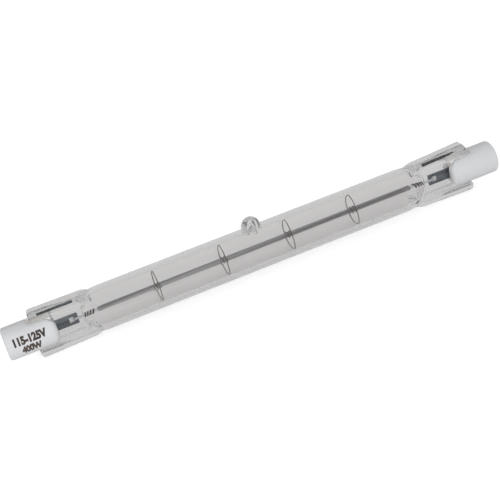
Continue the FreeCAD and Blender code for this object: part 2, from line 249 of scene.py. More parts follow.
def ease(share):
    """Smooth fall from 1 to 0 as share goes from 0 to 1."""
    share = min(max(share, 0.0), 1.0)
    return 0.5 + 0.5 * math.cos(math.pi * share)


def shares(count):
    """Equal steps up to 1, without 0."""
    return [i / count for i in range(1, count + 1)]


def spaced(start, end, step):
    """Places from start to end, about a step apart, both ends included."""
    count = max(1, math.ceil(abs(end - start) / step - 1e-6))
    return [start] + [blend(start, end, share) for share in shares(count)]


def at_side(sizes, side, name):
    """A size that the left and the right end have each for themselves."""
    return getattr(sizes, f"left_{name}" if side < 0 else f"right_{name}")


def shown(name, data):
    """An object in the scene that holds the data."""
    holder = bpy.data.objects.new(name, data)
    bpy.context.scene.collection.objects.link(holder)
    return holder


def held(bm):
    """A helper object with the bmesh's mesh; the bmesh is used up."""
    mesh = bpy.data.meshes.new("helper")
    bm.to_mesh(mesh)
    bm.free()
    return shown("helper", mesh)


def discard(holder):
    """Removes a helper object with its data."""
    data = holder.data
    bpy.data.objects.remove(holder)
    kind = bpy.data.curves if isinstance(data, bpy.types.Curve) else bpy.data.meshes
    kind.remove(data)


def meshed(holder):
    """A bmesh of a helper object with its modifiers and bevel; the object is used up."""
    graph = bpy.context.evaluated_depsgraph_get()
    mesh = bpy.data.meshes.new_from_object(holder.evaluated_get(graph))
    bm = bmesh.new()
    bm.from_mesh(mesh)
    bpy.data.meshes.remove(mesh)
    discard(holder)
    return bm


def piece_from(bm, name, material, recalc=True):
    """A finished object at the origin from a bmesh: smooth, with its sharp edges kept."""
    if recalc:
        bmesh.ops.recalc_face_normals(bm, faces=bm.faces)
    for face in bm.faces:
        face.smooth = True
    mesh = bpy.data.meshes.new(name)
    bm.to_mesh(mesh)
    bm.free()
    mesh.set_sharp_from_angle(angle=SHARP_ANGLE)
    mesh.materials.append(material)
    return shown(name, mesh)


def mount(piece, slot, *nodes):
    """The piece moves with the lamp and stands for the construction model's nodes."""
    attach(piece, BODY)
    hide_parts(*nodes)


def set_at_end(bm, side):
    """Lifts what is built round X at the +X end to the lamp's axis, mirrored for the -X end."""
    bmesh.ops.translate(bm, vec=(0, 0, AXIS_Z), verts=bm.verts)
    if side < 0:
        bmesh.ops.scale(bm, vec=(-1, 1, 1), verts=bm.verts)
        bmesh.ops.reverse_faces(bm, faces=bm.faces)


def spun(profile, segments, axis, across, centre=(0, 0, 0)):
    """Turned body: a profile of (place along the axis, radius), both ends on the axis."""
    bm = bmesh.new()
    points = [Vector(centre) + axis * place + across * radius for place, radius in profile]
    verts = [bm.verts.new(point) for point in points]
    edges = [bm.edges.new(pair) for pair in zip(verts, verts[1:])]
    bmesh.ops.spin(
        bm,
        geom=verts + edges,
        cent=centre,
        axis=axis,
        angle=2 * math.pi,
        steps=segments,
        use_merge=True,
    )
    bmesh.ops.remove_doubles(bm, verts=bm.verts, dist=SAME_POINT)
    bmesh.ops.dissolve_degenerate(bm, edges=bm.edges, dist=SAME_FINE_POINT)
    bmesh.ops.recalc_face_normals(bm, faces=bm.faces)
    return bm


def combined(base, other, operation):
    """Result of a boolean of two bmeshes, as a new bmesh; both are used up."""
    kept, tool = held(base), held(other)
    modifier = kept.modifiers.new("boolean", "BOOLEAN")
    modifier.operation = operation
    modifier.solver = "EXACT"
    modifier.object = tool
    result = meshed(kept)
    discard(tool)
    bmesh.ops.remove_doubles(result, verts=result.verts, dist=SAME_POINT)
    return result


def skin(rings):
    """Open tube through rings of as many points each: the bmesh and its two end rings."""
    bm = bmesh.new()
    made = bmesh.ops.create_circle(bm, cap_ends=False, segments=len(rings[0]), radius=1.0)
    first = ring = list(made["verts"])
    edges = list({edge for vert in ring for edge in vert.link_edges})
    for vert, place in zip(ring, rings[0]):
        vert.co = place
    for places in rings[1:]:
        order = {vert: i for i, vert in enumerate(ring)}
        grown = bmesh.ops.extrude_edge_only(bm, edges=edges)["geom"]
        following = [None] * len(ring)
        for vert in grown:
            if isinstance(vert, bmesh.types.BMVert):
                around = [edge.other_vert(vert) for edge in vert.link_edges]
                following[next(order[old] for old in around if old in order)] = vert
        for vert, place in zip(following, places):
            vert.co = place
        fresh = set(following)
        edges = [
            item
            for item in grown
            if isinstance(item, bmesh.types.BMEdge) and all(vert in fresh for vert in item.verts)
        ]
        ring = following
    return bm, (first, ring)


def close_ends(bm, rings):
    """Faces across both ends of a skin."""
    faces = []
    for ring in rings:
        inside = set(ring)
        edges = [edge for edge in bm.edges if all(vert in inside for vert in edge.verts)]
        faces += bmesh.ops.edgeloop_fill(bm, edges=edges)["faces"]
    return faces


def wire(name, path, diameter, material, sides=2):
    """Round wire along a path of points, as one closed mesh."""
    curve = bpy.data.curves.new(name, "CURVE")
    curve.dimensions = "3D"
    curve.bevel_depth = diameter / 2
    curve.bevel_resolution = sides
    curve.use_fill_caps = True
    spline = curve.splines.new("POLY")
    spline.points.add(len(path) - 1)
    for point, place in zip(spline.points, path):
        point.co = (*place, 1.0)
    bm = meshed(shown(name, curve))
    bmesh.ops.remove_doubles(bm, verts=bm.verts, dist=SAME_FINE_POINT)
    return piece_from(bm, name, material)


def on_axis(x, radius, angle):
    """Point round the lamp's axis; the angle is counted from +Y towards +Z."""
    return Vector((x, radius * math.cos(angle), AXIS_Z + radius * math.sin(angle)))


def helix(start, end, turns, radius, start_angle, steps):
    """Points of a coil about the lamp's axis, so many to a turn."""
    return [
        on_axis(blend(start, end, share), radius, start_angle + 2 * math.pi * turns * share)
        for share in [0.0] + shares(math.ceil(abs(turns) * steps))
    ]


# Quartz envelope

# Points in each stretch of a seal's quarter outline
FACE_STEPS = 8
ROUNDING_STEPS = 5
EDGE_STEPS = 5
UNDER_STEPS = 7
SIDE_STEPS = 18
LEAST_EDGE = 0.25 * MM  # height of a flange's side where its end corner narrows it
SUNK_EDGE = 0.12 * MM  # height of the outline's strip under a flange that is still inside the tube

FLARE_PACE = 1.06  # a flange reaches its end's height a little before its end
MELT_PASSES = 3
END_FACE_INSETS = ((0.3, 0.7), (0.7, 0.3))  # inwards and outwards, as shares of the end edge

CAVITY_SIDES = 112
CAVITY_END_RINGS = 3
TRANSITION_STEP = 0.2 * MM
STRAIGHT_STEP = 2.0 * MM
SEAL_STEP = 0.5 * MM
END_TURN = math.radians(8)

# Height over the lamp's axis and radius, in millimetres
TIP_FOOT = ((4.15, 0.0), (4.15, 2.5), (4.9, 2.36))
TIP_HOLLOW = (
    (3.2, 0.0),
    (3.2, 0.9),
    (4.2, 0.85),
    (5.0, 0.72),
    (5.6, 0.55),
    (6.0, 0.42),
    (6.3, 0.33),
    (6.45, 0.2),
    (6.5, 0.0),
)
TIP_BALL_START = math.radians(-8)
TIP_BALL_STEP = math.radians(6)
TIP_SEGMENTS = 48
TIP_HOLLOW_SEGMENTS = 32


def seal_start(glass):
    """Where the flanges start."""
    return glass.seal_end - glass.seal_length


def tube_end(glass, side):
    """Where the round tube ends and its shoulder starts."""
    return seal_start(glass) - at_side(glass, side, "lead_in")


def flattened(x, start, end, breadths, heights):
    """Half breadth and half height at x, from round at the start to flat at the end."""
    share = (x - start) / (end - start)
    return blend(*breadths, ease(share)), blend(*heights, ease(max(share, 0.0) ** 2))


def tube_halves(glass, side, x):
    """Half breadth and half height of the tube, where it flattens into the web."""
    end = seal_start(glass) + glass.run_out
    breadths = (glass.web / 2, glass.radius)
    heights = (glass.web_top, glass.radius)
    return flattened(x, tube_end(glass, side), end, breadths, heights)


def cavity_halves(glass, side, x):
    """Half breadth and half height of the gas space."""
    bore = glass.radius - glass.wall
    breadths = (glass.cavity_end_breadth / 2, bore)
    heights = (glass.cavity_end_height / 2, bore)
    return flattened(x, tube_end(glass, side), glass.cavity_end, breadths, heights)


def flange_top(glass, side, x, upper):
    """Height of a flange's outer face."""
    risen = seal_start(glass) + glass.rise_end
    if x <= risen:
        root = glass.flange_inner + glass.flange_root
        rise = at_side(glass, side, "rise")
        return blend(glass.flange_outer, root, ease((x - risen + rise) / rise))
    share = (x - risen) / (glass.seal_end - risen)
    end = glass.flange_end + (at_side(glass, side, "flare") if upper else 0.0)
    top = blend(glass.flange_outer, end, min(share * FLARE_PACE, 1.0))
    past = max(0.0, x - (glass.seal_end - glass.end_rounding))
    return top + math.sqrt(glass.end_rounding**2 - past**2) - glass.end_rounding


def web_half(glass, x, z):
    """Half thickness of the web at height z, with the fillet that runs into the flange."""
    change = x - CAP[0].x + glass.fillet_lead + glass.fillet_change
    fillet = blend(glass.cap_fillet, glass.web_fillet, ease(change / glass.fillet_change))
    beside_cement = 1 - ease((x - CAP[0].x) / (CEMENT[0].x - CAP[0].x))
    half = glass.web / 2 - glass.cement_gap * beside_cement
    rise = min(max(0.0, z - (glass.flange_inner - fillet)), fillet)
    return half + fillet - math.sqrt(fillet**2 - rise**2)


def seal_quadrant(glass, side, x, upper):
    """Quarter outline across the envelope at x, from a flange's middle to the side."""
    breadth, height = tube_halves(glass, side, x)
    top = flange_top(glass, side, x, upper)
    past = max(0.0, x - (glass.seal_end - glass.end_corner))
    half = glass.flange_breadth / 2 - glass.end_corner + math.sqrt(glass.end_corner**2 - past**2)
    turn = glass.flange_rounding
    crown = glass.flange_crown * half / (glass.flange_breadth / 2)
    has_web = x >= seal_start(glass)

    def tube_side(z):
        y = breadth * math.sqrt(max(0.0, 1.0 - (z / height) ** 2))
        return max(y, web_half(glass, x, z)) if has_web else y

    def crowned(y, z):
        return y, z - crown * (y / half) ** 2

    outline = [crowned((half - turn) * share, top) for share in [0.0] + shares(FACE_STEPS)]
    for share in shares(ROUNDING_STEPS):
        y = half - turn + turn * math.sin(QUARTER * share)
        outline.append(crowned(y, top - turn + turn * math.cos(QUARTER * share)))
    base = outline[-1][1]
    low = min(glass.flange_inner, base - LEAST_EDGE)
    outline += [(half, blend(base, low, share)) for share in shares(EDGE_STEPS)]
    pushed = []
    for y, z in outline:
        reach = min(math.hypot(y / breadth, z / height), 1.0)
        pushed.append((y / reach, z / reach))
    corner_y, corner_z = pushed[-1]
    if math.hypot(half / breadth, low / height) < 1.0:
        heights = [corner_z - SUNK_EDGE * share for share in shares(UNDER_STEPS)]
        under = [(tube_side(z), z) for z in heights]
    else:
        joint_y = tube_side(low)
        under = [(blend(corner_y, joint_y, share), low) for share in shares(UNDER_STEPS)]
    joint_z = under[-1][1]
    heights = [joint_z * math.cos(QUARTER * share) for share in shares(SIDE_STEPS)[:-1]] + [0.0]
    return pushed + under + [(tube_side(z), z) for z in heights]


def seal_ring(glass, side, x):
    """Whole outline across the envelope at x, as points round the axis."""
    upper = seal_quadrant(glass, side, x, True)
    lower = [(y, -z) for y, z in seal_quadrant(glass, side, x, False)]
    outline = upper + lower[-2::-1] + [(-y, z) for y, z in lower[1:] + upper[-2:0:-1]]
    return [Vector((side * x, y, AXIS_Z + z)) for y, z in outline]


def cavity_ring(glass, side, x, inset=0.0):
    """Outline of the gas space at x; inset rounds off its end."""
    breadth, height = cavity_halves(glass, side, x)
    points = []
    for i in range(CAVITY_SIDES):
        angle = 2 * math.pi * i / CAVITY_SIDES
        y = (breadth - inset) * math.sin(angle)
        z = (height - inset) * math.cos(angle)
        points.append(Vector((side * x, y, AXIS_Z + z)))
    return points


def envelope_stations(glass, side):
    """Places of the rings along one half of the envelope, from the middle outwards."""
    shoulder = tube_end(glass, side) - TRANSITION_STEP
    press_end = seal_start(glass) + glass.run_out
    rounding_start = glass.seal_end - glass.end_rounding
    last_turn = math.asin(1 - glass.end_edge / glass.end_rounding)
    stations = spaced(0.0, shoulder, STRAIGHT_STEP)
    stations += spaced(shoulder, press_end, TRANSITION_STEP)[1:]
    stations += spaced(press_end, rounding_start, SEAL_STEP)[1:]
    for angle in spaced(0.0, last_turn, END_TURN)[1:]:
        stations.append(rounding_start + glass.end_rounding * math.sin(angle))
    return stations


def outer_quartz(glass):
    """Outside of the tube with both seals."""
    rings = [seal_ring(glass, -1, x) for x in reversed(envelope_stations(glass, -1))]
    rings += [seal_ring(glass, 1, x) for x in envelope_stations(glass, 1)[1:]]
    bm, ends = skin(rings)
    melt_start = seal_start(glass) - glass.melt_lead
    melt_end = glass.seal_end - 2 * glass.end_edge
    melted = [vert for vert in bm.verts if melt_start < abs(vert.co.x) < melt_end]
    for _ in range(MELT_PASSES):
        bmesh.ops.smooth_vert(
            bm, verts=melted, factor=0.5, use_axis_x=False, use_axis_y=True, use_axis_z=True
        )
    faces = close_ends(bm, ends)
    bmesh.ops.recalc_face_normals(bm, faces=bm.faces)
    for inwards, outwards in END_FACE_INSETS:
        bmesh.ops.inset_individual(
            bm,
            faces=faces,
            thickness=glass.end_edge * inwards,
            depth=glass.end_edge * outwards,
            use_even_offset=True,
        )
    return bm


def exhaust_tip(glass):
    """Melted ball on a short conical foot, over the crown of the tube."""
    centre = glass.tip_top - glass.tip_radius
    profile = [(place * MM, reach * MM) for place, reach in TIP_FOOT]
    for angle in spaced(TIP_BALL_START, QUARTER, TIP_BALL_STEP)[:-1]:
        reach = glass.tip_radius * math.cos(angle)
        profile.append((centre + glass.tip_radius * math.sin(angle), reach))
    profile.append((glass.tip_top, 0.0))
    return spun(profile, TIP_SEGMENTS, UP, ALONG, (glass.tip_offset, 0, AXIS_Z))


def exhaust_bore(glass):
    """Narrowing space left under the tip."""
    profile = [(place * MM, reach * MM) for place, reach in TIP_HOLLOW]
    return spun(profile, TIP_HOLLOW_SEGMENTS, UP, ALONG, (glass.tip_offset, 0, AXIS_Z))


def gas_space(glass):
    """Inside of the envelope, closed at both seals."""
    halves = []
    rounding = glass.cavity_rounding
    for side in SIDES.values():
        shoulder = tube_end(glass, side)
        stations = spaced(0.0, shoulder, STRAIGHT_STEP)
        stations += spaced(shoulder, glass.cavity_end - rounding, TRANSITION_STEP)[1:]
        rings = [cavity_ring(glass, side, x) for x in stations]
        for share in shares(CAVITY_END_RINGS):
            x = glass.cavity_end - rounding * (1 - math.sin(QUARTER * share))
            inset = rounding * (1 - math.cos(QUARTER * share))
            rings.append(cavity_ring(glass, side, x, inset))
        halves.append(rings)
    left, right = halves
    bm, ends = skin(left[::-1] + right[1:])
    close_ends(bm, ends)
    bmesh.ops.recalc_face_normals(bm, faces=bm.faces)
    return bm


# Materials

GRAIN_CLOUD = 0.12  # scale of the grain's clouds, to that of its fine points
QUARTZ_IOR = 1.458
METAL_ROUGHNESS = (0.8, 1.25)  # least and most along the lines, to the metal's roughness


def feed(tree, socket, value):
    """Gives an input its value, or a link where the value is another node's output."""
    if isinstance(value, bpy.types.NodeSocket):
        tree.links.new(value, socket)
    else:
        socket.default_value = value


def add_node(tree, kind, *fed, **values):
    """A node with its first inputs fed in order, and its properties or other inputs by name."""
    node = tree.nodes.new(kind)
    for key, value in values.items():
        if hasattr(node, key):
            setattr(node, key, value)
        else:
            feed(tree, node.inputs[key.replace("_", " ")], value)
    for socket, value in zip(node.inputs, fed):
        feed(tree, socket, value)
    return node


def worked_out(tree, operation, *values):
    """Result of a sum in a material."""
    return add_node(tree, "ShaderNodeMath", *values, operation=operation).outputs[0]


def build_grain(group, given, result):
    """Fine fired or drawn grain: a mask and a height that vary over the surface."""
    place = add_node(group, "ShaderNodeTexCoord").outputs["Object"]
    scale = given["Scale"]
    broad = worked_out(group, "MULTIPLY", scale, GRAIN_CLOUD)
    noise = "ShaderNodeTexNoise"
    fine = add_node(group, noise, Vector=place, Scale=scale, Detail=4.0, Roughness=0.6).outputs["Fac"]
    cloud = add_node(group, noise, Vector=place, Scale=broad, Detail=2.0, Roughness=0.5).outputs["Fac"]
    mean = worked_out(group, "MULTIPLY", worked_out(group, "ADD", fine, cloud), 0.5)
    feed(group, result["Mask"], mean)
    feed(group, result["Height"], fine)


def build_draw_lines(group, given, result):
    """Lines along X, as drawing leaves them on tube and wire."""
    place = add_node(group, "ShaderNodeTexCoord").outputs["Object"]
    scale = add_node(group, "ShaderNodeCombineXYZ", given["Along"], given["Across"], given["Across"])
    stretch = add_node(group, "ShaderNodeMapping", Vector=place, Scale=scale.outputs[0])
    lines = add_node(group, "ShaderNodeTexNoise", Scale=1.0, Detail=3.0, Roughness=0.55)
    feed(group, lines.inputs["Vector"], stretch.outputs[0])
    feed(group, result["Mask"], lines.outputs["Fac"])


EFFECTS = {
    # builder, inputs with their defaults, outputs
    "fine_grain": (build_grain, {"Scale": 3000.0}, ("Mask", "Height")),
    "draw_lines": (build_draw_lines, {"Along": 8.0, "Across": 900.0}, ("Mask",)),
}


def effect(tree, name, **values):
    """Outputs of a shared effect in a material; its node group is built once."""
    group = bpy.data.node_groups.get(name)
    if group is None:
        build, inputs, outputs = EFFECTS[name]
        group = bpy.data.node_groups.new(name, "ShaderNodeTree")
        for title, default in inputs.items():
            socket = group.interface.new_socket(title, in_out="INPUT", socket_type="NodeSocketFloat")
            socket.default_value = default
        for title in outputs:
            group.interface.new_socket(title, in_out="OUTPUT", socket_type="NodeSocketFloat")
        given = group.nodes.new("NodeGroupInput").outputs
        build(group, given, group.nodes.new("NodeGroupOutput").inputs)
    return add_node(tree, "ShaderNodeGroup", node_tree=group, **values).outputs


def new_material(name, **values):
    """A material, its tree and its Principled shader, with the shader's inputs set by name."""
    material = bpy.data.materials.new(name)
    material.use_nodes = True
    shader = material.node_tree.nodes["Principled BSDF"]
    for key, value in values.items():
        shader.inputs[key.replace("_", " ")].default_value = value
    return material, material.node_tree, shader


def vary(tree, mask, shade, factors, shader, spread=(0.3, 0.7)):
    """Base colour between two multiples of a shade, chosen by a mask over its spread."""
    low, high = spread
    ramp = add_node(tree, "ShaderNodeMapRange", Value=mask, From_Min=low, From_Max=high)
    mix = add_node(tree, "ShaderNodeMix", ramp.outputs["Result"], data_type="RGBA")
    colours = [socket for socket in mix.inputs if socket.type == "RGBA"]
    for socket, factor in zip(colours, factors):
        socket.default_value = (*[min(1.0, channel * factor) for channel in shade], 1.0)
    mixed = next(socket for socket in mix.outputs if socket.type == "RGBA")
    feed(tree, shader.inputs["Base Color"], mixed)


def roughen(tree, mask, limits, shader):
    """Roughness between two values, chosen by a mask."""
    low, high = limits
    ramp = add_node(tree, "ShaderNodeMapRange", Value=mask, To_Min=low, To_Max=high)
    feed(tree, shader.inputs["Roughness"], ramp.outputs["Result"])


def emboss(tree, height, distance, shader):
    """Small relief from a height mask."""
    bump = add_node(tree, "ShaderNodeBump", Strength=1.0, Distance=distance, Height=height)
    feed(tree, shader.inputs["Normal"], bump.outputs["Normal"])


def let_light_through(tree, share):
    """Lets a share of the lamps' light pass: clear glass, or thin and slightly translucent ceramic."""
    clear = add_node(tree, "ShaderNodeBsdfTransparent", (share, share, share, 1.0)).outputs[0]
    shadow = add_node(tree, "ShaderNodeLightPath").outputs["Is Shadow Ray"]
    shader = tree.nodes["Principled BSDF"].outputs[0]
    mix = add_node(tree, "ShaderNodeMixShader", shadow, shader, clear)
    feed(tree, tree.nodes["Material Output"].inputs["Surface"], mix.outputs[0])


def quartz_material(shade):
    """Clear quartz with faint drawing lines; rays from the lamps pass it, a little dimmed."""
    material, tree, shader = new_material(
        "quartz", Roughness=0.0, IOR=QUARTZ_IOR, Transmission_Weight=1.0
    )
    lines = effect(tree, "draw_lines", Along=6.0, Across=700.0)["Mask"]
    vary(tree, lines, shade, (0.965, 1.015), shader)
    emboss(tree, lines, 0.0015 * MM, shader)
    let_light_through(tree, 0.985)
    return material


def fired_material(name, shade, grain, factors, rough, gloss=0.5, spread=(0.3, 0.7)):
    """Fired matt finish with a fine grain: ceramic, cement or print."""
    material, tree, shader = new_material(name, Specular_IOR_Level=gloss)
    masks = effect(tree, "fine_grain", Scale=grain)
    vary(tree, masks["Mask"], shade, factors, shader, spread)
    roughen(tree, masks["Mask"], rough, shader)
    return material, tree, shader, masks["Height"]


def steatite_material(shade):
    """Matt fired ceramic, thin enough to let a little light through."""
    material, tree, shader, grain = fired_material(
        "steatite", shade, 2600.0, (0.955, 1.02), (0.6, 0.85), gloss=0.35
    )
    emboss(tree, grain, 0.02 * MM, shader)
    let_light_through(tree, 0.85)
    return material


def cement_material(shade):
    """Dull granular cement."""
    material, tree, shader, grain = fired_material(
        "cement", shade, 1500.0, (0.82, 1.05), (0.8, 0.98)
    )
    emboss(tree, grain, 0.06 * MM, shader)
    let_light_through(tree, 0.92)
    return material


def ink_material(shade):
    """Fired print, a little thin in places."""
    return fired_material("ink", shade, 3200.0, (1.0, 3.2), (0.55, 0.8), spread=(0.42, 0.72))[0]


def metal_material(name, shade, rough, along=30.0, across=4000.0, factors=(0.8, 1.15)):
    """Drawn, rolled or turned metal with fine lines."""
    material, tree, shader = new_material(name, Metallic=1.0)
    lines = effect(tree, "draw_lines", Along=along, Across=across)["Mask"]
    vary(tree, lines, shade, factors, shader)
    roughen(tree, lines, [rough * factor for factor in METAL_ROUGHNESS], shader)
    emboss(tree, lines, 0.004 * MM, shader)
    return material


# Pieces


class LAMP_OT_quartz_envelope(bpy.types.Operator):
    """Quartz tube with its two pressed seals and the exhaust tip, hollow inside."""

    bl_idname = "lamp.quartz_envelope"
    bl_label = "Quartz Envelope"

    def execute(self, context):
        glass = context.scene.lamp_glass
        outside = combined(outer_quartz(glass), exhaust_tip(glass), "UNION")
        inside = combined(gas_space(glass), exhaust_bore(glass), "UNION")
        bmesh.ops.recalc_face_normals(outside, faces=outside.faces)
        bmesh.ops.recalc_face_normals(inside, faces=inside.faces)
        bmesh.ops.reverse_faces(inside, faces=inside.faces)
        hollow = held(inside)
        outside.from_mesh(hollow.data)
        discard(hollow)
        material = quartz_material(context.scene.lamp_finishes.quartz)
        piece = piece_from(outside, "quartz_glass", material, recalc=False)
        mount(piece, "quartz", "quartz_envelope")
        return {"FINISHED"}


FILAMENT_STEPS = 16
GRIP_TURNS = 2.25
GRIP_STEPS = 20
SPOKE_STEPS = 6
LOOP_STEPS = 72
LEAD_COIL_STEPS = 24


class LAMP_OT_filament(bpy.types.Operator):
    """Close-wound tungsten coil, turn by turn."""

    bl_idname = "lamp.filament"
    bl_label = "Filament"

    def execute(self, context):
        metal = context.scene.lamp_metal
        half_wire = metal.coil_wire / 2
        start, end = FILAMENT[0].x + half_wire, FILAMENT[1].x - half_wire
        turns = round((end - start) / metal.coil_pitch)
        path = helix(start, end, turns, metal.coil_radius - half_wire, 0.0, FILAMENT_STEPS)
        material = metal_material("tungsten", context.scene.lamp_finishes.tungsten, 0.38)
        piece = wire("filament_coil", path, metal.coil_wire, material, sides=1)
        mount(piece, "tungsten", "filament")
        return {"FINISHED"}


def support_path(metal, place):
    """One wire: turns that grip the filament, a spoke and a loop."""
    grip = metal.coil_radius + metal.support_wire / 2 + metal.grip_gap
    loop = metal.support_loop - metal.support_wire / 2
    half = metal.grip_pitch * GRIP_TURNS / 2
    grip_start = metal.grip_end - 2 * math.pi * GRIP_TURNS
    path = helix(place - half, place + half, GRIP_TURNS, grip, grip_start, GRIP_STEPS)
    first = on_axis(place + half, grip, metal.grip_end)
    last = on_axis(place, loop, metal.loop_start)
    path += [first.lerp(last, share) for share in shares(SPOKE_STEPS)[:-1]]
    return path + helix(
        place, place, metal.loop_span / (2 * math.pi), loop, metal.loop_start, LOOP_STEPS
    )


class LAMP_OT_filament_supports(bpy.types.Operator):
    """Four wire supports that centre the filament in the tube."""

    bl_idname = "lamp.filament_supports"
    bl_label = "Filament Supports"

    def execute(self, context):
        metal = context.scene.lamp_metal
        material = metal_material("tungsten_support", context.scene.lamp_finishes.support, 0.4)
        for i, (low, high) in enumerate(SUPPORTS, 1):
            path = support_path(metal, (low.x + high.x) / 2)
            piece = wire(f"support_wire_{i}", path, metal.support_wire, material)
            mount(piece, "tungsten_support", f"filament_support_{i}")
        return {"FINISHED"}


class LAMP_OT_lead_coils(bpy.types.Operator):
    """Short coils of thick wire on the inner leads."""

    bl_idname = "lamp.lead_coils"
    bl_label = "Lead Coils"

    def execute(self, context):
        metal = context.scene.lamp_metal
        half_wire = metal.lead_coil_wire / 2
        radius = LEAD_COIL[1].y - half_wire
        start, end = LEAD_COIL[0].x + half_wire, LEAD_COIL[1].x - half_wire
        turns = (end - start) / metal.lead_coil_pitch
        material = metal_material("lead_coil_wire", context.scene.lamp_finishes.lead_coil, 0.45)
        for name, side in SIDES.items():
            path = helix(side * start, side * end, turns, radius, 0.0, LEAD_COIL_STEPS)
            piece = wire(f"{name}_coil_on_lead", path, metal.lead_coil_wire, material)
            mount(piece, "tungsten", f"{name}_lead_coil")
        return {"FINISHED"}


LEAD_SIDES = 24
LEAD_STEP = 0.1 * MM
FLAT_BREADTH = 0.42  # of a lead's flattened end, to its round part
FLAT_HEIGHT = 2.1


def lead_body(low, high, flat_start, flat_end, side):
    """Round lead between two corners that flattens for its weld from flat_start to flat_end."""
    radius = high.y
    rings = []
    for x in spaced(low.x, high.x, LEAD_STEP):
        share = 1 - ease((x - flat_start) / (flat_end - flat_start))
        breadth = blend(radius, radius * FLAT_BREADTH, share)
        height = blend(radius, radius * FLAT_HEIGHT, share)
        ring = []
        for i in range(LEAD_SIDES):
            angle = 2 * math.pi * i / LEAD_SIDES
            y = radius - breadth + breadth * math.sin(angle)
            ring.append(Vector((side * x, y, AXIS_Z + height * math.cos(angle))))
        rings.append(ring)
    bm, ends = skin(rings)
    close_ends(bm, ends)
    return bm


class LAMP_OT_leads(bpy.types.Operator):
    """Molybdenum leads inside and outside the foils, flattened where they are welded."""

    bl_idname = "lamp.leads"
    bl_label = "Leads"

    def execute(self, context):
        metal = context.scene.lamp_metal
        material = metal_material("molybdenum", context.scene.lamp_finishes.molybdenum, 0.3)
        inner_flat = INNER_LEAD[1].x - metal.lead_flat
        outer_flat = OUTER_LEAD[0].x + metal.lead_flat
        leads = (
            ("lead_in_gas", "inner_lead", INNER_LEAD, inner_flat, inner_flat + metal.lead_taper),
            ("lead_to_contact", "outer_lead", OUTER_LEAD, outer_flat, outer_flat - metal.lead_taper),
        )
        for name, side in SIDES.items():
            for title, node, corners, start, end in leads:
                bm = lead_body(*corners, start, end, side)
                mount(piece_from(bm, f"{name}_{title}", material), "molybdenum", f"{name}_{node}")
        return {"FINISHED"}


FOIL_SEGMENTS = (60, 24)
FOIL_WAVES = (23.0, 5.0)  # radians along the foil and across it
# As shares of the foil solid's depth
FOIL_WAVE_HEIGHT = 0.25
FOIL_FACE = 0.3
FOIL_THICKNESS = 0.4


class LAMP_OT_foils(bpy.types.Operator):
    """Molybdenum foils in the seals, slightly wavy, with their corners cut."""

    bl_idname = "lamp.foils"
    bl_label = "Foils"

    def execute(self, context):
        metal = context.scene.lamp_metal
        # Painted shade: the foils take the dark foil colour rather than the leads' molybdenum shade
        shade = context.scene.lamp_finishes.foil
        material = metal_material("molybdenum_foil", shade, 0.42, 40.0, 1000.0, (0.55, 1.7))
        low, high = FOIL
        depth = high.y - low.y
        for name, side in SIDES.items():
            bm = bmesh.new()
            columns, rows = FOIL_SEGMENTS
            bmesh.ops.create_grid(bm, x_segments=columns, y_segments=rows, size=0.5)
            for vert in bm.verts:
                along, across = vert.co.x + 0.5, vert.co.y
                x = blend(low.x, high.x, along)
                cut = max(0.0, metal.foil_corner - min(x - low.x, high.x - x))
                wave = math.sin(along * FOIL_WAVES[0] + across * FOIL_WAVES[1])
                y = low.y + depth * (FOIL_FACE + FOIL_WAVE_HEIGHT * wave)
                vert.co = Vector((side * x, y, AXIS_Z + (high.z - low.z - 2 * cut) * across))
            bmesh.ops.recalc_face_normals(bm, faces=bm.faces)
            bmesh.ops.solidify(bm, geom=bm.faces, thickness=-depth * FOIL_THICKNESS)
            piece = piece_from(bm, f"{name}_foil", material)
            mount(piece, "molybdenum_foil", f"{name}_molybdenum_foil")
        return {"FINISHED"}


CAP_SEGMENTS = 96
CAP_TURN = QUARTER / 8
CHEEK_TURN = QUARTER / 16
CUT_OVERRUN = 0.5 * MM
PRISM_LEAD = 0.05 * MM
PRISM_REACH = 1.2  # in cap radii
SLOT_REACH = 1.3
FIRED_EDGE_ANGLE = math.radians(40)
SHORT_EDGE = 0.04 * MM  # edges shorter than this are merged before the fired edges are rounded


def cap_body(caps):
    """Turned ceramic with recess, contact seat and the hole for the stem."""
    hole = caps.stem_radius + caps.contact_gap
    seat = caps.button_radius + caps.contact_gap
    hole_bottom = caps.slot_bottom - CUT_OVERRUN
    profile = [(caps.start, 0.0)]
    for angle in spaced(0.0, QUARTER, CAP_TURN):
        place = caps.start + caps.cheek_round_length * (1 - math.cos(angle))
        profile.append((place, caps.radius - caps.cheek_round * (1 - math.sin(angle))))
    for angle in spaced(0.0, QUARTER, CAP_TURN):
        place = caps.end - caps.rim * (1 - math.sin(angle))
        profile.append((place, caps.radius - caps.rim * (1 - math.cos(angle))))
    profile += [
        (caps.end, caps.recess),
        (caps.contact_face, caps.recess),
        (caps.contact_face, seat),
        (caps.button_seat, seat),
        (caps.button_seat, hole),
        (hole_bottom, hole),
        (hole_bottom, 0.0),
    ]
    return spun(profile, CAP_SEGMENTS, ALONG, UP)


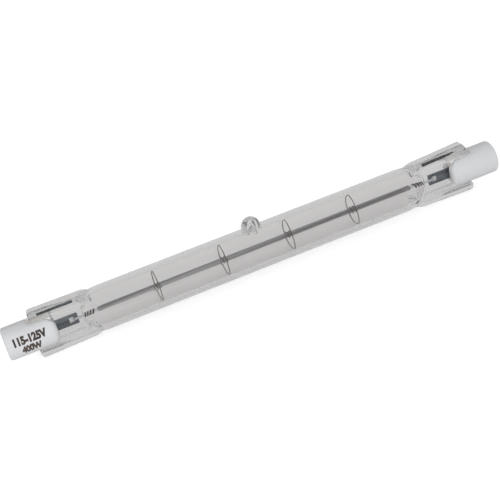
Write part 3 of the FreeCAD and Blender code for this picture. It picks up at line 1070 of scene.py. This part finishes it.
def cheek_outline(caps):
    """Prism that rounds the cheeks' corners, seen square to the web."""
    cheek_half = math.sqrt(caps.radius**2 - (caps.slot / 2) ** 2)
    reach = caps.radius * PRISM_REACH
    # Starts short of the cap, so that no face of the prism lies in the cap's end face
    tip = caps.start - PRISM_LEAD
    outline = [(caps.end + MM, reach), (tip + caps.cheek_corner_length, reach)]
    for angle in spaced(0.0, QUARTER, CHEEK_TURN):
        x = tip + caps.cheek_corner_length * (1 - math.sin(angle))
        outline.append((x, cheek_half - caps.cheek_corner * (1 - math.cos(angle))))
    outline += [(x, -z) for x, z in reversed(outline)]
    bm = bmesh.new()
    face = bm.faces.new([bm.verts.new((x, -reach, z)) for x, z in outline])
    grown = bmesh.ops.extrude_face_region(bm, geom=[face])["geom"]
    top = [item for item in grown if isinstance(item, bmesh.types.BMVert)]
    bmesh.ops.translate(bm, vec=(0, 2 * reach, 0), verts=top)
    bmesh.ops.recalc_face_normals(bm, faces=bm.faces)
    return bm


def slot_cutter(caps):
    """Box that cuts the slot between the cheeks."""
    reach = caps.radius * SLOT_REACH
    low = Vector((caps.start - MM, -caps.slot / 2, -reach))
    high = Vector((caps.slot_bottom, caps.slot / 2, reach))
    bm = bmesh.new()
    bmesh.ops.create_cube(bm, size=1.0)
    bmesh.ops.scale(bm, vec=high - low, verts=bm.verts)
    bmesh.ops.translate(bm, vec=(low + high) / 2, verts=bm.verts)
    return bm


class LAMP_OT_ceramic_caps(bpy.types.Operator):
    """Steatite caps that straddle the seals, with the recess for the contact."""

    bl_idname = "lamp.ceramic_caps"
    bl_label = "Ceramic Caps"

    def execute(self, context):
        caps = context.scene.lamp_caps
        material = steatite_material(context.scene.lamp_finishes.steatite)
        for name, side in SIDES.items():
            body = combined(cap_body(caps), cheek_outline(caps), "INTERSECT")
            body = combined(body, slot_cutter(caps), "DIFFERENCE")
            bmesh.ops.remove_doubles(body, verts=body.verts, dist=SHORT_EDGE)
            set_at_end(body, side)
            piece = piece_from(body, f"{name}_steatite_cap", material)
            rounding = piece.modifiers.new("fired edges", "BEVEL")
            rounding.width = caps.edge
            rounding.segments = 2
            rounding.limit_method = "ANGLE"
            rounding.angle_limit = FIRED_EDGE_ANGLE
            rounding.harden_normals = True
            mount(piece, "steatite", f"{name}_ceramic_cap")
        return {"FINISHED"}


PRINT_LINES = (
    # words, start and length from the cap's end, angle above the web's normal
    ("115-125V", 1.75 * MM, 7.3 * MM, math.radians(23)),
    ("400W", 3.0 * MM, 4.4 * MM, math.radians(-12.5)),
)
# As shares of the characters' size, before they are wrapped on the cap
INK_SPREAD = 0.065
INK_DEPTH = 0.05
INK_VOXEL = 0.014


def print_line(caps, words, start, span, angle):
    """One line of print wrapped on the cap's side, as a thin closed layer."""
    text = bpy.data.curves.new("print", "FONT")
    text.body = words
    text.size = 1.0
    text.offset = INK_SPREAD
    text.extrude = INK_DEPTH
    flat = held(meshed(shown("print", text)))
    # Remeshing joins the spread ink where strokes run together
    spread = flat.modifiers.new("spread ink", "REMESH")
    spread.mode = "VOXEL"
    spread.voxel_size = INK_VOXEL
    bm = meshed(flat)
    low = [min(vert.co[i] for vert in bm.verts) for i in range(3)]
    high = [max(vert.co[i] for vert in bm.verts) for i in range(3)]
    for vert in bm.verts:
        along, up, out = [(vert.co[i] - low[i]) / (high[i] - low[i]) for i in range(3)]
        turn = angle + (up - 0.5) * caps.print_height / caps.radius
        radius = caps.radius + blend(caps.print_sunk, caps.print_proud, out)
        x = -caps.end + start + along * span
        vert.co = Vector((x, -radius * math.cos(turn), AXIS_Z + radius * math.sin(turn)))
    return bm


class LAMP_OT_cap_print(bpy.types.Operator):
    """Plain rating figures printed on the left cap."""

    bl_idname = "lamp.cap_print"
    bl_label = "Cap Print"

    def execute(self, context):
        caps = context.scene.lamp_caps
        material = ink_material(context.scene.lamp_finishes.ink)
        for i, line in enumerate(PRINT_LINES, 1):
            piece = piece_from(print_line(caps, *line), f"cap_print_{i}", material)
            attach(piece, BODY)
        return {"FINISHED"}


class LAMP_OT_cap_cement(bpy.types.Operator):
    """Finish of the cement in the caps' slots, whose solids are kept."""

    bl_idname = "lamp.cap_cement"
    bl_label = "Cap Cement"

    def execute(self, context):
        material = cement_material(context.scene.lamp_finishes.cement)
        for name in SIDES:
            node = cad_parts[f"{name}_cap_cement"]
            node.data.materials.clear()
            node.data.materials.append(material)
        return {"FINISHED"}


CONTACT_SEGMENTS = 64
EDGE_SHARE = 0.3  # place of the chamfer's middle corner, as a share of its width


class LAMP_OT_contact_buttons(bpy.types.Operator):
    """Turned contact buttons with a stem, at the bottom of the caps' recesses."""

    bl_idname = "lamp.contact_buttons"
    bl_label = "Contact Buttons"

    def execute(self, context):
        caps = context.scene.lamp_caps
        material = metal_material("contact_nickel", context.scene.lamp_finishes.nickel, 0.32)
        stem_start = BUTTON[0].x
        face = caps.contact_face
        edge = caps.button_edge
        profile = [
            (stem_start, 0.0),
            (stem_start, caps.stem_radius - caps.stem_edge),
            (stem_start + caps.stem_edge, caps.stem_radius),
            (caps.button_seat, caps.stem_radius),
            (caps.button_seat, caps.button_radius),
            (face - edge, caps.button_radius),
            (face - edge * EDGE_SHARE, caps.button_radius - edge * EDGE_SHARE),
            (face, caps.button_radius - edge),
            (face, caps.dimple_radius),
            (face - caps.dimple_depth, caps.dimple_floor),
            (face - caps.dimple_depth, 0.0),
        ]
        for name, side in SIDES.items():
            bm = spun(profile, CONTACT_SEGMENTS, ALONG, UP)
            set_at_end(bm, side)
            piece = piece_from(bm, f"{name}_contact", material)
            mount(piece, "contact_nickel", f"{name}_contact_button")
        return {"FINISHED"}


# Stage

WHITE = (1.0, 1.0, 1.0, 1.0)
FLOOR_SIDES = 96
# Strengths of the floor's glow to the camera, by reflection and through glass
FLOOR_GLOW = (0.5, 0.35, 0.065)
MIRRORED_SKY = 0.6
SKY_LIGHT = 0.78
# The light from the sky falls off from low to high, given as the sine of the height
SKY_HEIGHTS = (0.25, 0.95)
SKY_FALL = (1.0, 0.6)
LIGHTS = {
    # place, aim, size and power
    "key": ((-0.16, -0.38, 0.16), (-0.02, 0, AXIS_Z), (0.35, 0.25), 0.88),
    "side": ((0.5, -0.2, 0.16), (-0.03, 0, AXIS_Z), (0.25, 0.25), 0.2),
}


def camera_axes(stage):
    """Lamp's axes in the camera's frame of right, down and forward."""
    turn, tilt, height = stage.turn, stage.tilt, stage.height
    flat = math.cos(tilt)
    along = Vector((flat * math.cos(turn), -flat * math.sin(turn), math.sin(tilt)))
    down = Vector((math.sin(turn), math.cos(turn), 0.0))
    forward = along.cross(down)
    across = forward * math.cos(height) - down * math.sin(height)
    up = -down * math.cos(height) - forward * math.sin(height)
    return Matrix((along, across, up))


def place_camera(stage):
    """Camera at the photograph's viewing angle."""
    axes = camera_axes(stage)
    place = Vector((0, 0, AXIS_Z)) - axes @ Vector((stage.aside, stage.below, stage.distance))
    right, up, back = (axes @ Vector(way) for way in ((1, 0, 0), (0, -1, 0), (0, 0, -1)))
    camera = bpy.data.cameras.new("camera")
    camera.lens = stage.lens
    camera.sensor_width = 36.0
    camera.clip_start = 0.01
    holder = shown("camera", camera)
    turned = Matrix((right, up, back)).transposed().to_4x4()
    holder.matrix_world = Matrix.Translation(place) @ turned
    bpy.context.scene.camera = holder


def seen_directly(tree, direct, reflected, refracted):
    """Strength for rays that show a surface: to the camera, by reflection and through glass."""
    path = add_node(tree, "ShaderNodeLightPath").outputs
    total = worked_out(tree, "MULTIPLY_ADD", path["Is Camera Ray"], direct, 0.0)
    total = worked_out(tree, "MULTIPLY_ADD", path["Is Glossy Ray"], reflected, total)
    # A ray that has come through clear glass counts as glossy as well
    through = refracted - reflected
    return worked_out(tree, "MULTIPLY_ADD", path["Is Transmission Ray"], through, total)


def floor_material(stage):
    """Pale matt floor that shows white where no shadow falls."""
    material, tree, shader = new_material("floor", Roughness=1.0, Specular_IOR_Level=0.0)
    shader.inputs["Base Color"].default_value = (*stage.floor, 1.0)
    glow = add_node(tree, "ShaderNodeEmission", Strength=seen_directly(tree, *FLOOR_GLOW))
    both = add_node(tree, "ShaderNodeAddShader", shader.outputs[0], glow.outputs[0])
    feed(tree, tree.nodes["Material Output"].inputs["Surface"], both.outputs[0])
    return material


def add_light(name, place, aim, size, power):
    """Soft lamp that is seen neither directly nor in the glass."""
    light = bpy.data.lights.new(name, "AREA")
    light.shape = "RECTANGLE"
    light.size, light.size_y = size
    light.energy = power
    holder = shown(name, light)
    turned = (Vector(aim) - Vector(place)).to_track_quat("-Z", "Y").to_matrix().to_4x4()
    holder.matrix_world = Matrix.Translation(place) @ turned
    holder.visible_camera = False
    holder.visible_glossy = False
    holder.visible_transmission = False


def light_world():
    """Studio surroundings: white to the camera, grey for what is reflected or refracted."""
    world = bpy.data.worlds.new("studio")
    bpy.context.scene.world = world
    world.use_nodes = True
    tree = world.node_tree
    way = add_node(tree, "ShaderNodeTexCoord").outputs["Generated"]
    height = add_node(tree, "ShaderNodeSeparateXYZ", way).outputs["Z"]
    fall = add_node(tree, "ShaderNodeMapRange", height, *SKY_HEIGHTS, *SKY_FALL).outputs["Result"]
    path = add_node(tree, "ShaderNodeLightPath").outputs
    reached = worked_out(tree, "MAXIMUM", path["Is Glossy Ray"], path["Is Transmission Ray"])
    kind = "ShaderNodeBackground"
    sky = add_node(tree, kind, WHITE, worked_out(tree, "MULTIPLY", fall, SKY_LIGHT)).outputs[0]
    mirrored = add_node(tree, kind, WHITE, MIRRORED_SKY).outputs[0]
    white = add_node(tree, kind, WHITE, 1.0).outputs[0]
    first = add_node(tree, "ShaderNodeMixShader", reached, sky, mirrored).outputs[0]
    second = add_node(tree, "ShaderNodeMixShader", path["Is Camera Ray"], first, white)
    feed(tree, tree.nodes["World Output"].inputs["Surface"], second.outputs[0])


class LAMP_OT_stage(bpy.types.Operator):
    """Pale floor, soft studio light and the camera."""

    bl_idname = "lamp.stage"
    bl_label = "Stage"

    def execute(self, context):
        stage = context.scene.lamp_stage
        place_camera(stage)
        bm = bmesh.new()
        bmesh.ops.create_circle(bm, cap_ends=True, segments=FLOOR_SIDES, radius=stage.floor_radius)
        piece_from(bm, "floor", floor_material(stage))
        light_world()
        for name, settings in LIGHTS.items():
            add_light(name, *settings)
        context.scene.view_settings.view_transform = "Standard"
        paths = context.scene.cycles
        paths.max_bounces = stage.bounces
        paths.glossy_bounces = stage.bounces
        paths.transmission_bounces = stage.bounces
        paths.diffuse_bounces = stage.diffuse_bounces
        return {"FINISHED"}


OPERATORS = (
    LAMP_OT_stage,
    LAMP_OT_quartz_envelope,
    LAMP_OT_filament,
    LAMP_OT_filament_supports,
    LAMP_OT_lead_coils,
    LAMP_OT_leads,
    LAMP_OT_foils,
    LAMP_OT_ceramic_caps,
    LAMP_OT_cap_print,
    LAMP_OT_cap_cement,
    LAMP_OT_contact_buttons,
)


class LAMP_PT_pieces(bpy.types.Panel):
    """Lists the lamp's pieces and its stage."""

    bl_idname = "LAMP_PT_pieces"
    bl_label = "Halogen Lamp"
    bl_space_type = "VIEW_3D"
    bl_region_type = "UI"
    bl_category = "Lamp"

    def draw(self, context):
        for operator in OPERATORS:
            self.layout.operator(operator.bl_idname)
        for group in GROUPS:
            settings = getattr(context.scene, group)
            column = self.layout.column()
            for name in settings.__annotations__:
                column.prop(settings, name)


CLASSES = (*GROUPS.values(), *OPERATORS, LAMP_PT_pieces)


def register():
    for item in CLASSES:
        bpy.utils.register_class(item)
    for name, group in GROUPS.items():
        setattr(bpy.types.Scene, name, bpy.props.PointerProperty(type=group))


def unregister():
    for name in GROUPS:
        delattr(bpy.types.Scene, name)
    for item in reversed(CLASSES):
        bpy.utils.unregister_class(item)


def main():
    register()
    for operator in OPERATORS:
        group, name = operator.bl_idname.split(".")
        getattr(getattr(bpy.ops, group), name)()


if __name__ == "__main__":
    main()
